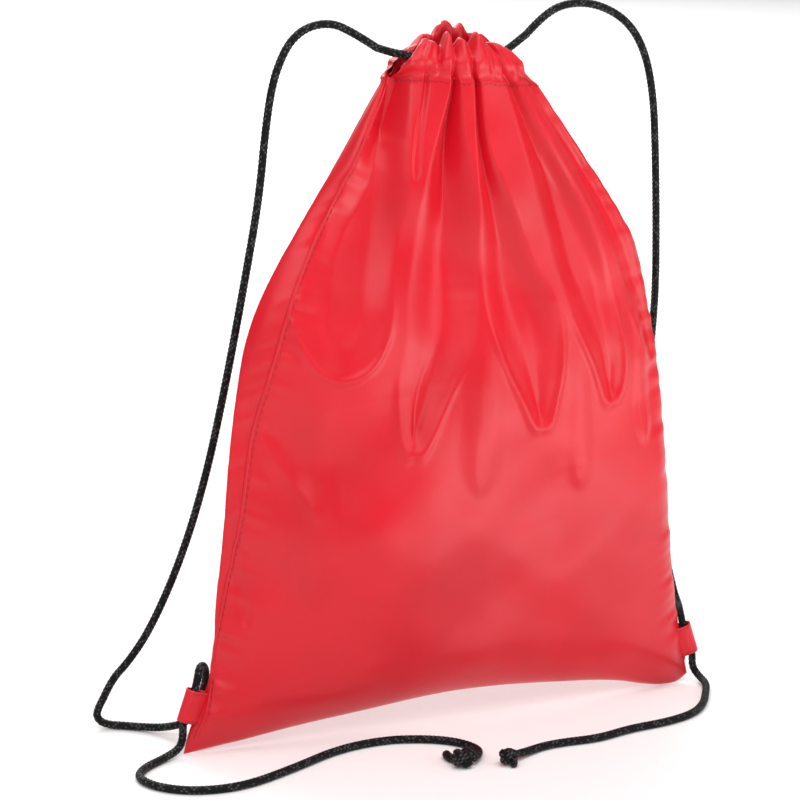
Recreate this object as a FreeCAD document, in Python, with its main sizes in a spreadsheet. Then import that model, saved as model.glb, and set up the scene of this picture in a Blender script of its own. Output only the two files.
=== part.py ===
"""Drawstring backpack: a light cloth sack with a gathered mouth, two corner loops and two
cord strands that serve as shoulder straps.

Millimetres, +Z up. The sack stands on its bottom corners. Its front faces -Y and its right
side is +X. The origin is the middle of its base.
"""

import FreeCAD, Part
import Sketcher
import math
import os
import re

Vector = FreeCAD.Vector
doc = FreeCAD.newDocument("drawstring_backpack")

# ---------------------------------------------------------------- driving dimensions

SIZES = {
    "cloth": 1.2,
    # heights of the sack's cross-sections, with their half widths and half depths
    "levelA": 0.0, "wideA": 163.0, "deepA": 19.0,
    "levelB": 25.0, "wideB": 156.0, "deepB": 23.0,
    "levelC": 60.0, "wideC": 149.0, "deepC": 26.0,
    "levelD": 130.0, "wideD": 141.0, "deepD": 28.0,
    "levelE": 200.0, "wideE": 133.5, "deepE": 29.0,
    "levelF": 250.0, "wideF": 122.0, "deepF": 28.5,
    "levelG": 300.0, "wideG": 95.0, "deepG": 27.0,
    "levelH": 340.0, "wideH": 69.0, "deepH": 25.5,
    "levelI": 368.0, "wideI": 46.0, "deepI": 24.0,
    # the bottom fold rises between the corners
    "arch_rise": 14.0,
    "arch_half_span": 118.0,
    # gathered sleeve round the mouth
    "sleeve_top": 403.0,
    "sleeve_top_wide": 33.0,
    "sleeve_top_deep": 18.0,
    "mouth_half_width": 21.0,
    "mouth_half_depth": 7.6,
    "sleeve_gap": 6.0,
    # side seam
    "seam_root": -8.0,
    "seam_reach": 3.0,
    "seam_thick": 1.6,
    "thread_inner": 1.8,
    "thread_outer": 2.6,
    # corner loops
    "tab_low": 19.0,
    "tab_high": 38.0,
    "tab_outer": 166.0,
    "tab_root": 140.0,
    "tab_half_depth": 4.2,
    "tab_hem": 157.0,
    "tab_lean": 19.0,
    # thread
    "thread": 0.5,
    "stitch_row": 2.0,
    "stitch_height": 1.0,
    "sleeve_stitch": 3.0,
    "seam_stitch": 4.5,
    "tab_stitch": 2.6,
    # cord and its stopper knots
    "cord_diameter": 4.5,
    "tunnel_diameter": 6.4,
    "knot_half_length": 7.0,
    "knot_half_width": 5.5,
    "knot_half_height": 5.0,
}

sheet = doc.addObject("Spreadsheet::Sheet", "Sizes")
for row, (alias, value) in enumerate(SIZES.items(), start=1):
    sheet.set(f"A{row}", alias)
    sheet.set(f"B{row}", str(value))
    sheet.setAlias(f"B{row}", alias)
doc.recompute()

LEVELS = "ABCDEFGHI"
FAR = 400.0


def size(alias):
    return float(getattr(sheet, alias))


def bind(item, prop, formula):
    """Tie a property to a formula whose words are the sheet's aliases."""
    item.setExpression(prop, re.sub(r"[A-Za-z_]+", lambda word: f"Sizes.{word[0]}", formula))


def add(kind, name, **links):
    item = doc.addObject(kind, name)
    for prop, value in links.items():
        setattr(item, prop, value)
    return item


def box(name, low, high):
    """A box from two corners, each given as three formulas."""
    item = add("Part::Box", name)
    for axis, side, lo, hi in zip("xyz", ("Length", "Width", "Height"), low, high):
        bind(item, f"Placement.Base.{axis}", lo)
        bind(item, side, f"( {hi} ) - ( {lo} )")
    return item


def cut(name, base, tool):
    return add("Part::Cut", name, Base=base, Tool=tool)


def common(name, base, tool):
    return add("Part::Common", name, Base=base, Tool=tool)


def group(name, pieces):
    return add("Part::Compound", name, Links=pieces)


def mirrored(name, source):
    return add("Part::Mirroring", name, Source=source, Normal=Vector(1, 0, 0))


# ---------------------------------------------------------------- sack

def oval(name, half_width, half_depth, level):
    item = add("Part::Ellipse", name)
    bind(item, "MajorRadius", half_width)
    bind(item, "MinorRadius", half_depth)
    bind(item, "Placement.Base.z", level)
    return item


def sack_form(name, inset, floor, top):
    """A smooth solid through the sack's cross-sections, shrunk by inset."""
    sections = []
    for letter in LEVELS:
        level = f"level{letter}"
        if letter == LEVELS[0]:
            level = floor
        if letter == LEVELS[-1]:
            level = top
        sections.append(oval(f"{name}_{letter}", f"wide{letter} - {inset}",
                             f"deep{letter} - {inset}", level))
    return add("Part::Loft", name, Sections=sections, Solid=True, Ruled=False)


def arch_form(name, extra):
    """A long cylinder along Y whose crown lifts the middle of the bottom fold."""
    radius = "( arch_half_span ^ 2 + arch_rise ^ 2 ) / ( 2 * arch_rise )"
    item = add("Part::Cylinder", name, Height=2 * FAR)
    item.Placement = FreeCAD.Placement(Vector(0, FAR, 0),
                                       FreeCAD.Rotation(Vector(1, 0, 0), 90))
    bind(item, "Radius", f"{radius} + {extra}")
    bind(item, "Placement.Base.z", f"arch_rise - {radius}")
    return item


sack_outside = cut("sack_outside", sack_form("outer_form", "0", "0", "levelI"),
                   arch_form("outer_arch", "0"))
sack_inside = cut("sack_inside", sack_form("inner_form", "cloth", "cloth", "levelI + 1"),
                  arch_form("inner_arch", "cloth"))
sack_wall = cut("sack_wall", sack_outside, sack_inside)
front_space = box("front_space", (f"-{FAR}", f"-{FAR}", "-1"), (f"{FAR}", "0", f"{FAR}"))
back_space = box("back_space", (f"-{FAR}", "0", "-1"), (f"{FAR}", f"{FAR}", f"{FAR}"))
front_panel = common("front_panel", sack_wall, front_space)
back_panel = common("back_panel", sack_wall, back_space)

# ---------------------------------------------------------------- cord routes

# From just outside each sleeve gap the strand arches over and hangs down beside the sack. The
# left one comes to the ground behind the corner, the right one straight to its corner loop.
LEFT_SHOULDER = [
    (-46, 0.4, 393.2), (-57, 2, 400.5), (-73, 4, 408), (-92, 6, 402), (-103.5, 7, 381),
    (-109, 7, 352), (-113, 8, 312), (-121, 11, 266), (-130, 18, 210), (-140, 28, 152),
    (-152.5, 38, 103), (-168, 47.5, 62), (-180, 54, 41), (-190, 58.2, 29.2),
    (-194.5, 60, 18),
]
RIGHT_SHOULDER = [
    (46, 0.3, 399), (56.5, 1, 409), (71, 2, 416), (92, 4, 416), (114, 6, 406), (128, 9, 388),
    (136, 12, 361), (141, 17, 327), (146, 23, 285), (149, 27, 240), (147.5, 30, 200),
    (151, 31, 160), (155, 29.5, 120), (157, 25, 91), (157.6, 19.3, 69.3), (161.5, 20, 58),
]
# Through the corner loops: the left strand turns on the ground, comes forward and doubles
# over behind the seam first.
LEFT_TAB = [
    (-194.7, 60.1, 17.5), (-198.5, 61.6, 10.5), (-197.5, 61, 5), (-192.5, 58, 2.5),
    (-184, 53, 2.4), (-174, 45, 2.7), (-165.5, 35, 4.5), (-157, 24.5, 9), (-152, 19, 17),
    (-149, 17, 26), (-147, 14.5, 35), (-147.6, 10.5, 43.5), (-150.6, 6.7, 49.2),
    (-154.2, 3, 48.6), (-156.2, 0.8, 41.6), (-159, 0, 33.4), (-162.4, 0, 26),
    (-165.4, 0, 18.9), (-165.4, 0, 14.1),
]
RIGHT_TAB = [
    (161.6, 20, 57.6), (163.4, 20.3, 51.4), (163, 15.5, 47.2), (160, 8, 46),
    (157.6, 2, 43), (159, 0, 33.4), (162.4, 0, 26), (165.4, 0, 18.9), (165.4, 0, 14.1),
]
# The tails run along the ground in front of the sack to their stopper knots.
LEFT_TAIL = [
    (-165.4, 0, 13.8), (-165.4, 0, 9.2), (-169, -2.8, 4.2), (-180, -8.6, 2.4),
    (-195, -18.5, 2.4), (-202, -32, 2.4), (-195, -50, 2.4), (-178, -63, 2.4),
    (-152, -66, 2.4), (-118, -51, 2.4), (-85, -33, 2.4), (-55, -29, 2.4), (-33, -36, 2.4),
    (-18, -47, 2.4), (-11.5, -61, 2.4), (-14, -73, 3.2), (-21.5, -80, 4.4),
]
RIGHT_TAIL = [
    (165.4, 0, 13.8), (165.4, 0, 9.2), (167.8, -3.9, 4.2), (167.5, -14, 2.4),
    (159, -28, 2.4), (146, -47, 2.4), (131, -60, 2.4), (109, -66.5, 2.4), (84, -68, 2.4),
    (60, -75, 2.4), (39, -73, 2.4), (25, -74, 2.4), (13, -79, 2.9), (2.5, -84, 4),
]
# Inside the sleeves: one strand crosses the front, the other goes round the back.
FRONT_CHANNEL = [
    (-42, -0.3, 391.6), (-32, -2, 389.5), (-25, -9, 388), (-12, -13, 388), (11, -13, 388),
    (24, -9.5, 388.5), (32, -2, 391), (42.5, -0.2, 395.5),
]
BACK_CHANNEL = [
    (-24, -8, 380.5), (-30, 0, 381), (-25, 9, 383), (-12, 13, 386), (11, 13, 387),
    (24, 9.5, 384), (30, 1, 381), (24, -8, 380.5),
]


def rounded_path(points):
    """Straight runs joined by tangent arcs as large as the two runs at each point allow."""
    share = 0.45
    corners = [Vector(*p) for p in points]
    edges = []
    radii = []
    here = corners[0]
    for before, corner, after in zip(corners, corners[1:], corners[2:]):
        back = before - corner
        ahead = after - corner
        reach = share * min(back.Length, ahead.Length)
        half_turn = (math.pi - back.getAngle(ahead)) / 2
        back.normalize()
        ahead.normalize()
        start = corner + back * reach
        end = corner + ahead * reach
        radius = reach / math.tan(half_turn)
        middle = (back + ahead).normalize()
        crown = corner + middle * (math.hypot(radius, reach) - radius)
        edges.append(Part.LineSegment(here, start).toShape())
        edges.append(Part.Arc(start, crown, end).toShape())
        radii.append(radius)
        here = end
    edges.append(Part.LineSegment(here, corners[-1]).toShape())
    return Part.Wire(edges), radii


def tube(points, diameter):
    path, radii = rounded_path(points)
    start = Vector(*points[0])
    direction = Vector(*points[1]) - start
    ring = Part.Wire(Part.makeCircle(diameter / 2, start, direction))
    solid = path.makePipeShell([ring], True, False)
    return solid, path.Length, radii


def cord(name, points):
    """One stretch of cord, with its length, volume and radii reported."""
    item = add("Part::Feature", name)
    diameter = size("cord_diameter")
    item.Shape, length, radii = tube(points, diameter)
    expected = math.pi * diameter ** 2 / 4 * length
    share = item.Shape.Volume / expected
    print(f"{name}: {length:.0f} mm, volume share {share:.3f}, radii "
          + " ".join(f"{r:.0f}" for r in radii))
    return item


def tunnel(name, points):
    item = add("Part::Feature", name)
    item.Shape = tube(points, size("tunnel_diameter"))[0]
    return item


cords = [
    cord("left_shoulder_cord", LEFT_SHOULDER),
    cord("right_shoulder_cord", RIGHT_SHOULDER),
    cord("left_tab_cord", LEFT_TAB),
    cord("right_tab_cord", RIGHT_TAB),
    cord("left_tail_cord", LEFT_TAIL),
    cord("right_tail_cord", RIGHT_TAIL),
    cord("front_channel_cord", FRONT_CHANNEL),
    cord("back_channel_cord", BACK_CHANNEL),
]


def stopper_knot(name, centre, heading):
    """The plain outer form of an overhand knot pulled tight."""
    item = add("Part::Ellipsoid", name)
    item.Placement = FreeCAD.Placement(Vector(*centre),
                                       FreeCAD.Rotation(Vector(0, 0, 1), heading))
    bind(item, "Radius1", "knot_half_height")
    bind(item, "Radius2", "knot_half_length")
    bind(item, "Radius3", "knot_half_width")
    return item


left_tail_knot = stopper_knot("left_tail_knot", (-29.5, -82, 5), -23)
right_tail_knot = stopper_knot("right_tail_knot", (-4.5, -88, 5), 35)

# ---------------------------------------------------------------- gathered sleeve

def capsule(name, half_width, half_depth, level):
    """A level outline: two straight sides closed by half circles."""
    long = half_width - half_depth
    corners = [Vector(x, y, level) for x, y in
               ((-long, -half_depth), (long, -half_depth), (long, half_depth), (-long, half_depth))]
    right = Part.Arc(corners[1], Vector(half_width, 0, level), corners[2])
    left = Part.Arc(corners[3], Vector(-half_width, 0, level), corners[0])
    item = add("Part::Feature", name)
    item.Shape = Part.Wire([Part.LineSegment(corners[0], corners[1]).toShape(),
                            right.toShape(),
                            Part.LineSegment(corners[2], corners[3]).toShape(),
                            left.toShape()])
    return item


def sleeve_outline(name, height, extra):
    """The sleeve's outer outline at a height above its foot, swollen by extra."""
    share = height / (size("sleeve_top") - size("levelI"))
    wide = size("wideI") + (size("sleeve_top_wide") - size("wideI")) * share
    deep = size("deepI") + (size("sleeve_top_deep") - size("deepI")) * share
    return capsule(name, wide + extra, deep + extra, size("levelI") + height)


def mouth_outline(name, level):
    return capsule(name, size("mouth_half_width"), size("mouth_half_depth"), size(level))


def ruled_form(name, low, high):
    return add("Part::Loft", name, Solid=True, Ruled=True, Sections=[low, high])


sleeve_rise = size("sleeve_top") - size("levelI")
sleeve_form = ruled_form("sleeve_form", sleeve_outline("sleeve_foot", 0, 0),
                         sleeve_outline("sleeve_rim", sleeve_rise, 0))
mouth_form = ruled_form("mouth_form", mouth_outline("mouth_foot", "levelI"),
                        mouth_outline("mouth_rim", "sleeve_top"))
sleeve_ring = cut("sleeve_ring", sleeve_form, mouth_form)
side_gap = box("side_gap", (f"-{FAR}", "- sleeve_gap / 2", "0"),
               (f"{FAR}", "sleeve_gap / 2", f"{FAR + FAR}"))
sleeve_halves = cut("sleeve_halves", sleeve_ring, side_gap)
front_tunnel = tunnel("front_tunnel", FRONT_CHANNEL)
back_tunnel = tunnel("back_tunnel", BACK_CHANNEL)
sleeve_bored = cut("sleeve_bored", cut("sleeve_front_bored", sleeve_halves, front_tunnel),
                   back_tunnel)
front_half = box("front_half", (f"-{FAR}", f"-{FAR}", "0"), (f"{FAR}", "0", f"{FAR + FAR}"))
back_half = box("back_half", (f"-{FAR}", "0", "0"), (f"{FAR}", f"{FAR}", f"{FAR + FAR}"))
front_cord_channel = common("front_cord_channel", sleeve_bored, front_half)
back_cord_channel = common("back_cord_channel", sleeve_bored, back_half)

# The row of stitches that closes the sleeves: a raised band, combed into single stitches.
row_low = size("stitch_row")
row_high = row_low + size("stitch_height")
band_form = ruled_form("band_form", sleeve_outline("band_foot", row_low, size("thread")),
                       sleeve_outline("band_rim", row_high, size("thread")))
band = cut("band", cut("band_shell", band_form, sleeve_form), side_gap)
SLEEVE_STITCHES = range(-43, 44, 5)
sleeve_comb = group("sleeve_comb", [
    box(f"sleeve_tooth_{n}", (f"{x}", f"-{FAR}", "levelI"),
        (f"{x} + sleeve_stitch", f"{FAR}", "sleeve_top"))
    for n, x in enumerate(SLEEVE_STITCHES)])
sleeve_stitches = common("sleeve_stitches", band, sleeve_comb)
front_channel_stitching = common("front_channel_stitching", sleeve_stitches, front_half)
back_channel_stitching = common("back_channel_stitching", sleeve_stitches, back_half)

# ---------------------------------------------------------------- side seams

SEAM_LEVELS = "CDEFGHI"


def edge_strip(name, inner, outer, thickness):
    """A flat strip along the sack's right edge, between two offsets from the edge.

    It is a closed outline in the XZ plane, padded evenly to both sides of it.
    """
    corners = [(f"wide{c}", outer, f"level{c}") for c in SEAM_LEVELS]
    corners += [(f"wide{c}", inner, f"level{c}") for c in reversed(SEAM_LEVELS)]
    places = [Vector(size(wide) + size(extra), size(level), 0) for wide, extra, level in corners]
    body = add("PartDesign::Body", name)
    sketch = body.newObject("Sketcher::SketchObject", f"{name}_outline")
    plane = next(f for f in body.Origin.OriginFeatures if f.Role == "XZ_Plane")
    sketch.AttachmentSupport = [(plane, "")]
    sketch.MapMode = "FlatFace"
    for start, end in zip(places, places[1:] + places[:1]):
        sketch.addGeometry(Part.LineSegment(start, end), False)
    for index, (wide, extra, level) in enumerate(corners):
        following = (index + 1) % len(corners)
        sketch.addConstraint(Sketcher.Constraint("Coincident", index, 2, following, 1))
        across = sketch.addConstraint(
            Sketcher.Constraint("DistanceX", -1, 1, index, 1, places[index].x))
        bind(sketch, f"Constraints[{across}]", f"{wide} + {extra}")
        upward = sketch.addConstraint(
            Sketcher.Constraint("DistanceY", -1, 1, index, 1, places[index].y))
        bind(sketch, f"Constraints[{upward}]", level)
    pad = body.newObject("PartDesign::Pad", f"{name}_pad")
    pad.Profile = sketch
    pad.Midplane = True
    bind(pad, "Length", thickness)
    return body


right_side_seam = cut("right_side_seam",
                      edge_strip("seam_blank", "seam_root", "seam_reach", "seam_thick"),
                      sack_outside)
left_side_seam = mirrored("left_side_seam", right_side_seam)

# The seam's thread: a raised line on its front face, combed into single stitches.
thread_line = edge_strip("thread_line", "thread_inner", "thread_outer", "thread")
bind(thread_line, "Placement.Base.y", "- ( seam_thick + thread ) / 2")
SEAM_STITCHES = range(64, 360, 8)
seam_comb = group("seam_comb", [
    box(f"seam_tooth_{n}", ("0", f"-{FAR}", f"{z}"), (f"{FAR}", f"{FAR}", f"{z} + seam_stitch"))
    for n, z in enumerate(SEAM_STITCHES)])
seam_stitches = common("seam_stitches", thread_line, seam_comb)
right_seam_stitching = cut("right_seam_stitching", seam_stitches, sack_outside)
left_seam_stitching = mirrored("left_seam_stitching", right_seam_stitching)

# ---------------------------------------------------------------- corner loops

def loop_form(name, shrink):
    """A flat bar with a round outer end, standing on edge beside the bottom corner."""
    bar = box(f"{name}_bar", ("tab_root", f"{shrink} - tab_half_depth", "tab_low"),
              ("tab_outer - tab_half_depth", f"tab_half_depth - {shrink}", "tab_high"))
    end = add("Part::Cylinder", f"{name}_end")
    bind(end, "Radius", f"tab_half_depth - {shrink}")
    bind(end, "Height", "tab_high - tab_low")
    bind(end, "Placement.Base.x", "tab_outer - tab_half_depth")
    bind(end, "Placement.Base.z", "tab_low")
    return add("Part::Fuse", name, Base=bar, Tool=end)


def lean(item):
    """Tilt an upright piece to follow the sack's edge, which runs outwards towards the ground."""
    middle = Vector(size("tab_outer") - size("tab_half_depth"), 0,
                    (size("tab_low") + size("tab_high")) / 2)
    turn = FreeCAD.Rotation(Vector(0, 1, 0), -size("tab_lean"))
    item.Placement = FreeCAD.Placement(middle - turn.multVec(middle), turn)


loop_wall = cut("loop_wall", loop_form("loop_outside", "0"), loop_form("loop_hollow", "cloth"))
lean(loop_wall)
right_corner_tab = cut("right_corner_tab", loop_wall, sack_outside)
left_corner_tab = mirrored("left_corner_tab", right_corner_tab)

TAB_STITCHES = range(21, 36, 4)
right_tab_stitching = group("right_tab_stitching", [
    box(f"tab_stitch_{n}", ("tab_hem", "- tab_half_depth - thread", f"{z}"),
        ("tab_hem + thread", "- tab_half_depth", f"{z} + tab_stitch"))
    for n, z in enumerate(TAB_STITCHES)])
lean(right_tab_stitching)
left_tab_stitching = mirrored("left_tab_stitching", right_tab_stitching)

# ---------------------------------------------------------------- checks and export

NODES = [
    front_panel, back_panel, left_side_seam, right_side_seam, left_seam_stitching,
    right_seam_stitching, front_cord_channel, back_cord_channel, front_channel_stitching,
    back_channel_stitching, left_corner_tab, right_corner_tab, left_tab_stitching,
    right_tab_stitching, left_tail_knot, right_tail_knot, *cords,
]

doc.recompute()
for item in doc.Objects:
    if "Invalid" in item.State or "Error" in item.State:
        raise RuntimeError(f"{item.Label} is {item.State}")
for node in NODES:
    shape = node.Shape
    if shape.isNull() or not shape.isValid() or not shape.Solids:
        raise RuntimeError(f"{node.Label} has no valid solid")

os.makedirs("parts", exist_ok=True)
for node in NODES:
    node.Shape.exportStep(f"parts/{node.Label}.step")
print(f"{len(NODES)} nodes written")
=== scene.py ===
"""Looks of the drawstring backpack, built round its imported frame.

Sizes are written in millimetres and scaled to metres when a mesh is made. The sack's front
faces -Y and +Z is up, as in the frame.
"""

import math

import bpy
import numpy as np
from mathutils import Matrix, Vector


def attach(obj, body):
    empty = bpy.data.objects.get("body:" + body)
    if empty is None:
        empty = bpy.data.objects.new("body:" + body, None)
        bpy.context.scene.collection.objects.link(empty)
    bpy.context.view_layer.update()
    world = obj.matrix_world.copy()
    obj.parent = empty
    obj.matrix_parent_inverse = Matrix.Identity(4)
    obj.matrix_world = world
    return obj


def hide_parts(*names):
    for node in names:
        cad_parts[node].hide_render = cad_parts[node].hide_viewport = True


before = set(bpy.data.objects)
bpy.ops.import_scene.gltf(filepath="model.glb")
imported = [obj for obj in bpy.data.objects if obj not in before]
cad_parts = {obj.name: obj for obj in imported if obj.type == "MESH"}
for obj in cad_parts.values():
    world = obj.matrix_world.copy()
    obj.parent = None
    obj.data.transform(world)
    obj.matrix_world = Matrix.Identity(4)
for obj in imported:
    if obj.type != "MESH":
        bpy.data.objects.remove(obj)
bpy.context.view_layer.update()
MM = 0.001

# ---------------------------------------------------------------- stage

# The camera, fitted to the outline: angles in degrees, aim and distance in metres,
# sensor and lens in millimetres.
CAMERA_AZIMUTH = -23.3
CAMERA_ELEVATION = 11.5
CAMERA_AIM = (-0.032, 0, 0.1938)
CAMERA_DISTANCE = 1.3
CAMERA_SENSOR = 36
CAMERA_LENS = 102.4

WORLD_STRENGTH = 0.27
# Name, place, aim, size in metres and power in watts. The first four light the sack. The card
# lies face up on the floor, outside the first view. The last three whiten the floor, which is
# all that view shows behind the sack.
LIGHTS = [
    ("key", (-1.15, -1.45, 1.85), (0, 0, 0.25), 2.3, 32),
    ("fill", (1.1, -1.15, 0.6), (0, 0, 0.2), 0.9, 5),
    ("floor_card", (0.5, -0.64, 0.01), (0.5, -0.64, 1), 0.75, 4.8),
    ("top", (0.25, -0.5, 1.7), (0.25, -0.45, 0), 0.9, 8),
    ("sky", (0, 0, 9), (0, 0.1, 0), 26, 850),
    ("near_backdrop", (0.8, 4.5, 3.5), (0.8, 4.5, 0), 4, 200),
    ("backdrop", (1, 14, 6), (1, 14, 0), 14, 950),
]
FLOOR_SIZE = 80
FLOOR_COLOUR = (0.93, 0.93, 0.93)
FLOOR_ROUGHNESS = 0.95


def make_camera():
    camera = bpy.data.objects.new("camera", bpy.data.cameras.new("camera"))
    bpy.context.scene.collection.objects.link(camera)
    azimuth, elevation = math.radians(CAMERA_AZIMUTH), math.radians(CAMERA_ELEVATION)
    back = Vector((math.sin(azimuth) * math.cos(elevation),
                   -math.cos(azimuth) * math.cos(elevation), math.sin(elevation)))
    camera.location = Vector(CAMERA_AIM) + back * CAMERA_DISTANCE
    camera.rotation_mode = "QUATERNION"
    camera.rotation_quaternion = (-back).to_track_quat("-Z", "Y")
    camera.data.sensor_width = CAMERA_SENSOR
    camera.data.lens = CAMERA_LENS
    bpy.context.scene.camera = camera


def area_light(name, place, aim, size, power):
    light = bpy.data.objects.new(name, bpy.data.lights.new(name, "AREA"))
    bpy.context.scene.collection.objects.link(light)
    light.data.size = size
    light.data.energy = power
    light.location = place
    light.rotation_mode = "QUATERNION"
    light.rotation_quaternion = (Vector(aim) - Vector(place)).to_track_quat("-Z", "Y")


def make_stage():
    make_camera()
    bpy.context.scene.view_settings.view_transform = "Standard"
    world = bpy.data.worlds.new("studio")
    bpy.context.scene.world = world
    world.use_nodes = True
    background = world.node_tree.nodes["Background"]
    background.inputs["Color"].default_value = (1, 1, 1, 1)
    background.inputs["Strength"].default_value = WORLD_STRENGTH
    for light in LIGHTS:
        area_light(*light)
    bpy.ops.mesh.primitive_plane_add(size=FLOOR_SIZE)
    floor = bpy.context.object
    floor.name = "floor"
    floor.data.materials.append(plain_material("floor_paper", FLOOR_COLOUR, FLOOR_ROUGHNESS))


# ---------------------------------------------------------------- materials

# Noise scales of the cloth's colour, gloss and finest creases, in cells per metre.
COLOUR_SCALE = 14
GLOSS_SCALE = 45
CREASE_SCALE = 60
# How far the gloss noise moves a cloth's roughness down and up.
GLOSS_SPREAD = (-0.02, 0.09)
# Strength and height in metres of the bump from creases, weave and braid.
CREASE_BUMP = (0.35, 0.0006)
WEAVE_BUMP = (0.12, 0.00008)
BRAID_BUMP = (0.5, 0.0003)
CLOTH_FINISH = {"Sheen Weight": 0.05, "Sheen Roughness": 0.45,
                "Sheen Tint": (1.0, 0.62, 0.6, 1), "Specular IOR Level": 0.42}
CORD_FINISH = {"Sheen Weight": 0.02, "Specular IOR Level": 0.14}
BRAID_STRANDS = 6
# A braid cell gets a painted glint, grey on its strand crests, when its random value is above this.
GLINT_THRESHOLD = 0.62
BRAID_BLACK = (0.003, 0.003, 0.0034)
# The grey of the painted glints on the braid.
BRAID_GLINT_GREY = (0.065, 0.067, 0.07)


def plain_material(name, colour, roughness):
    material = bpy.data.materials.new(name)
    material.use_nodes = True
    shader = material.node_tree.nodes["Principled BSDF"]
    shader.inputs["Base Color"].default_value = (*colour, 1)
    shader.inputs["Roughness"].default_value = roughness
    return material


class Nodes:
    """A short way to write a material's nodes."""

    def __init__(self, material):
        self.tree = material.node_tree
        self.shader = self.tree.nodes["Principled BSDF"]

    def add(self, kind, **settings):
        node = self.tree.nodes.new(kind)
        for key, value in settings.items():
            setattr(node, key, value)
        return node

    def link(self, source, target):
        self.tree.links.new(source, target)

    def math(self, operation, first, second=0.0):
        node = self.add("ShaderNodeMath", operation=operation)
        for socket, value in zip(node.inputs, (first, second)):
            if isinstance(value, (int, float)):
                socket.default_value = value
            else:
                self.link(value, socket)
        return node.outputs[0]

    def noise(self, vector, scale, detail):
        node = self.add("ShaderNodeTexNoise")
        node.inputs["Scale"].default_value = scale
        node.inputs["Detail"].default_value = detail
        self.link(vector, node.inputs["Vector"])
        return node.outputs["Fac"]

    def ramp(self, factor, *stops):
        node = self.add("ShaderNodeValToRGB")
        ramp = node.color_ramp
        while len(ramp.elements) < len(stops):
            ramp.elements.new(0.5)
        for element, (place, colour) in zip(ramp.elements, stops):
            element.position = place
            element.color = (*colour, 1)
        self.link(factor, node.inputs["Fac"])
        return node.outputs["Color"]

    def spread(self, factor, low, high):
        node = self.add("ShaderNodeMapRange")
        node.inputs["To Min"].default_value = low
        node.inputs["To Max"].default_value = high
        self.link(factor, node.inputs["Value"])
        return node.outputs["Result"]

    def bump(self, height, strength, distance, under=None):
        node = self.add("ShaderNodeBump")
        node.inputs["Strength"].default_value = strength
        node.inputs["Distance"].default_value = distance
        self.link(height, node.inputs["Height"])
        if under is not None:
            self.link(under, node.inputs["Normal"])
        return node.outputs["Normal"]

    def finish(self, values):
        for name, value in values.items():
            self.shader.inputs[name].default_value = value


def cloth_material(name, dark, light, roughness, thread=0.45):
    """Satin woven polyester: a plain weave with threads of the given width in millimetres,
    slightly uneven in colour and gloss."""
    material = plain_material(name, light, roughness)
    n = Nodes(material)
    place = n.add("ShaderNodeTexCoord").outputs["Object"]
    parts = n.add("ShaderNodeSeparateXYZ")
    n.link(place, parts.inputs[0])
    turns = 2 * math.pi / (thread * MM)
    across = n.math("SINE", n.math("MULTIPLY", n.math("ADD", parts.outputs["X"],
                                                      parts.outputs["Y"]), turns))
    upward = n.math("SINE", n.math("MULTIPLY", parts.outputs["Z"], turns))
    weave = n.math("MULTIPLY", across, upward)
    cloudy = n.noise(place, COLOUR_SCALE, 3)
    n.link(n.ramp(cloudy, (0.3, dark), (0.7, light)), n.shader.inputs["Base Color"])
    n.link(n.spread(n.noise(place, GLOSS_SCALE, 2), roughness + GLOSS_SPREAD[0],
                    roughness + GLOSS_SPREAD[1]), n.shader.inputs["Roughness"])
    creases = n.bump(n.noise(place, CREASE_SCALE, 3), *CREASE_BUMP)
    n.link(n.bump(weave, *WEAVE_BUMP, creases), n.shader.inputs["Normal"])
    n.finish(CLOTH_FINISH)
    return material


def cord_material():
    """Black braid with painted glints: grey on the strand crests of a few random cells, drawn from
    the braid map's turns and length.
    """
    material = plain_material("cord_braid", (0.012, 0.012, 0.013), 0.55)
    n = Nodes(material)
    parts = n.add("ShaderNodeSeparateXYZ")
    n.link(n.add("ShaderNodeUVMap", uv_map="braid").outputs["UV"], parts.inputs[0])
    turn, along = parts.outputs["X"], parts.outputs["Y"]
    one = n.math("ADD", n.math("MULTIPLY", turn, BRAID_STRANDS), along)
    other = n.math("SUBTRACT", n.math("MULTIPLY", turn, BRAID_STRANDS), along)
    bumps = [n.math("ABSOLUTE", n.math("SINE", n.math("MULTIPLY", line, math.pi)))
             for line in (one, other)]
    height = n.math("MULTIPLY", *bumps)
    cells = n.add("ShaderNodeCombineXYZ")
    n.link(n.math("FLOOR", one), cells.inputs["X"])
    n.link(n.math("FLOOR", other), cells.inputs["Y"])
    glint_cells = n.add("ShaderNodeTexWhiteNoise", noise_dimensions="2D")
    n.link(cells.outputs[0], glint_cells.inputs["Vector"])
    # Painted glint: the chosen cells are painted grey on their strand crests and fade to black at
    # the crests' edges.
    chosen = n.math("GREATER_THAN", glint_cells.outputs["Value"], GLINT_THRESHOLD)
    painted_glint = n.math("MULTIPLY", chosen, height)
    n.link(n.ramp(painted_glint, (0.2, BRAID_BLACK), (0.9, BRAID_GLINT_GREY)), n.shader.inputs["Base Color"])
    n.link(n.bump(height, *BRAID_BUMP), n.shader.inputs["Normal"])
    n.finish(CORD_FINISH)
    return material


make_stage()
SACK_CLOTH = cloth_material("red_cloth", (0.54, 0.002, 0.011), (0.64, 0.003, 0.015), 0.31)
SLEEVE_CLOTH = cloth_material("red_sleeve_cloth", (0.55, 0.002, 0.011), (0.64, 0.003, 0.015),
                              0.33)
TAB_CLOTH = cloth_material("red_tape", (0.57, 0.003, 0.013), (0.66, 0.005, 0.019), 0.42, 0.6)
SEAM_CLOTH = cloth_material("red_seam", (0.54, 0.002, 0.011), (0.62, 0.003, 0.015), 0.36)
THREAD = cloth_material("red_thread", (0.32, 0.003, 0.010), (0.44, 0.005, 0.014), 0.5, 0.3)
CORD = cord_material()

# ---------------------------------------------------------------- meshes


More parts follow.
